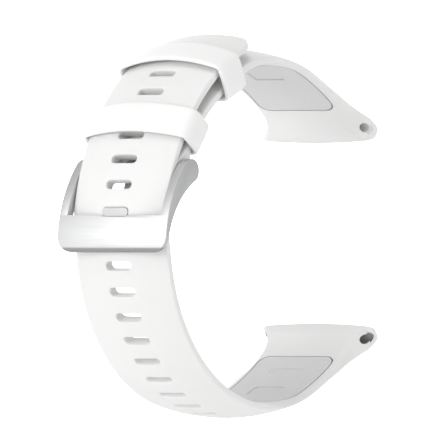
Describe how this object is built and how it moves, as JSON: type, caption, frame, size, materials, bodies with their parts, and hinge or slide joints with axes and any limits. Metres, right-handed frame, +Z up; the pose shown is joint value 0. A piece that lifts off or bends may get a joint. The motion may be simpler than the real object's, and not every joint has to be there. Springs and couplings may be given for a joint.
{
  "type": "watch strap",
  "caption": "Two-piece moulded watch strap closed into a wrist loop, with flared lug ends, a slotted tail, sliding keepers and a wide-plate pin buckle.",
  "frame": {"origin": "middle of the upper lug bore, on its axis", "axes": "+X along the lug bores across the strap; +Z up from the lower lug bore to the upper one; +Y away from the wrist loop, out through the gap that the watch case fills"},
  "size_m": [0.0246, 0.0639, 0.0684],
  "materials": {
    "silicone": "matt moulded silicone, white",
    "panel": "finely textured moulded insert, pale grey",
    "brushed_steel": "brushed across the plate",
    "bar_steel": "turned and plain"
  },
  "bodies": {
    "root": {"buckle_strap": "silicone", "tail_strap": "silicone", "upper_panel": "panel", "lower_panel": "panel"},
    "frame": {"buckle_frame": "brushed_steel"},
    "tongue": {"buckle_tongue": "brushed_steel"},
    "spring_bar": {"spring_bar_tube": "bar_steel", "spring_bar_spring": "bar_steel"},
    "pin_left": {"spring_bar_pin_left": "bar_steel"},
    "pin_right": {"spring_bar_pin_right": "bar_steel"},
    "keeper_low": {"lower_keeper": "silicone"},
    "keeper_high": {"upper_keeper": "silicone"}
  },
  "joints": [
    {"name": "frame_swing", "type": "hinge", "parent": "root", "child": "frame", "pos_m": [0, -0.0539, -0.0078], "axis": [-1, 0, 0], "range_deg": [0, 70]},
    {"name": "tongue_swing", "type": "hinge", "parent": "root", "child": "tongue", "pos_m": [0, -0.0539, -0.0078], "axis": [1, 0, 0], "range_deg": [0, 35]},
    {"name": "bar_spin", "type": "hinge", "parent": "root", "child": "spring_bar", "pos_m": [0, -0.0539, -0.0078], "axis": [1, 0, 0], "continuous": true},
    {"name": "pin_left_press", "type": "slide", "parent": "spring_bar", "child": "pin_left", "axis": [1, 0, 0], "range_m": [0, 0.0011], "stiffness_N_per_m": 800, "springref_m": -0.001},
    {"name": "pin_right_press", "type": "slide", "parent": "spring_bar", "child": "pin_right", "axis": [-1, 0, 0], "range_m": [0, 0.0011], "stiffness_N_per_m": 800, "springref_m": -0.001},
    {"name": "lower_keeper_slide", "type": "hinge", "parent": "root", "child": "keeper_low", "pos_m": [0, -0.0276, -0.0188], "axis": [-1, 0, 0], "range_deg": [-1.5, 3]},
    {"name": "upper_keeper_slide", "type": "hinge", "parent": "root", "child": "keeper_high", "pos_m": [0, -0.0276, -0.0188], "axis": [-1, 0, 0], "range_deg": [-2, 2.5]}
  ]
}
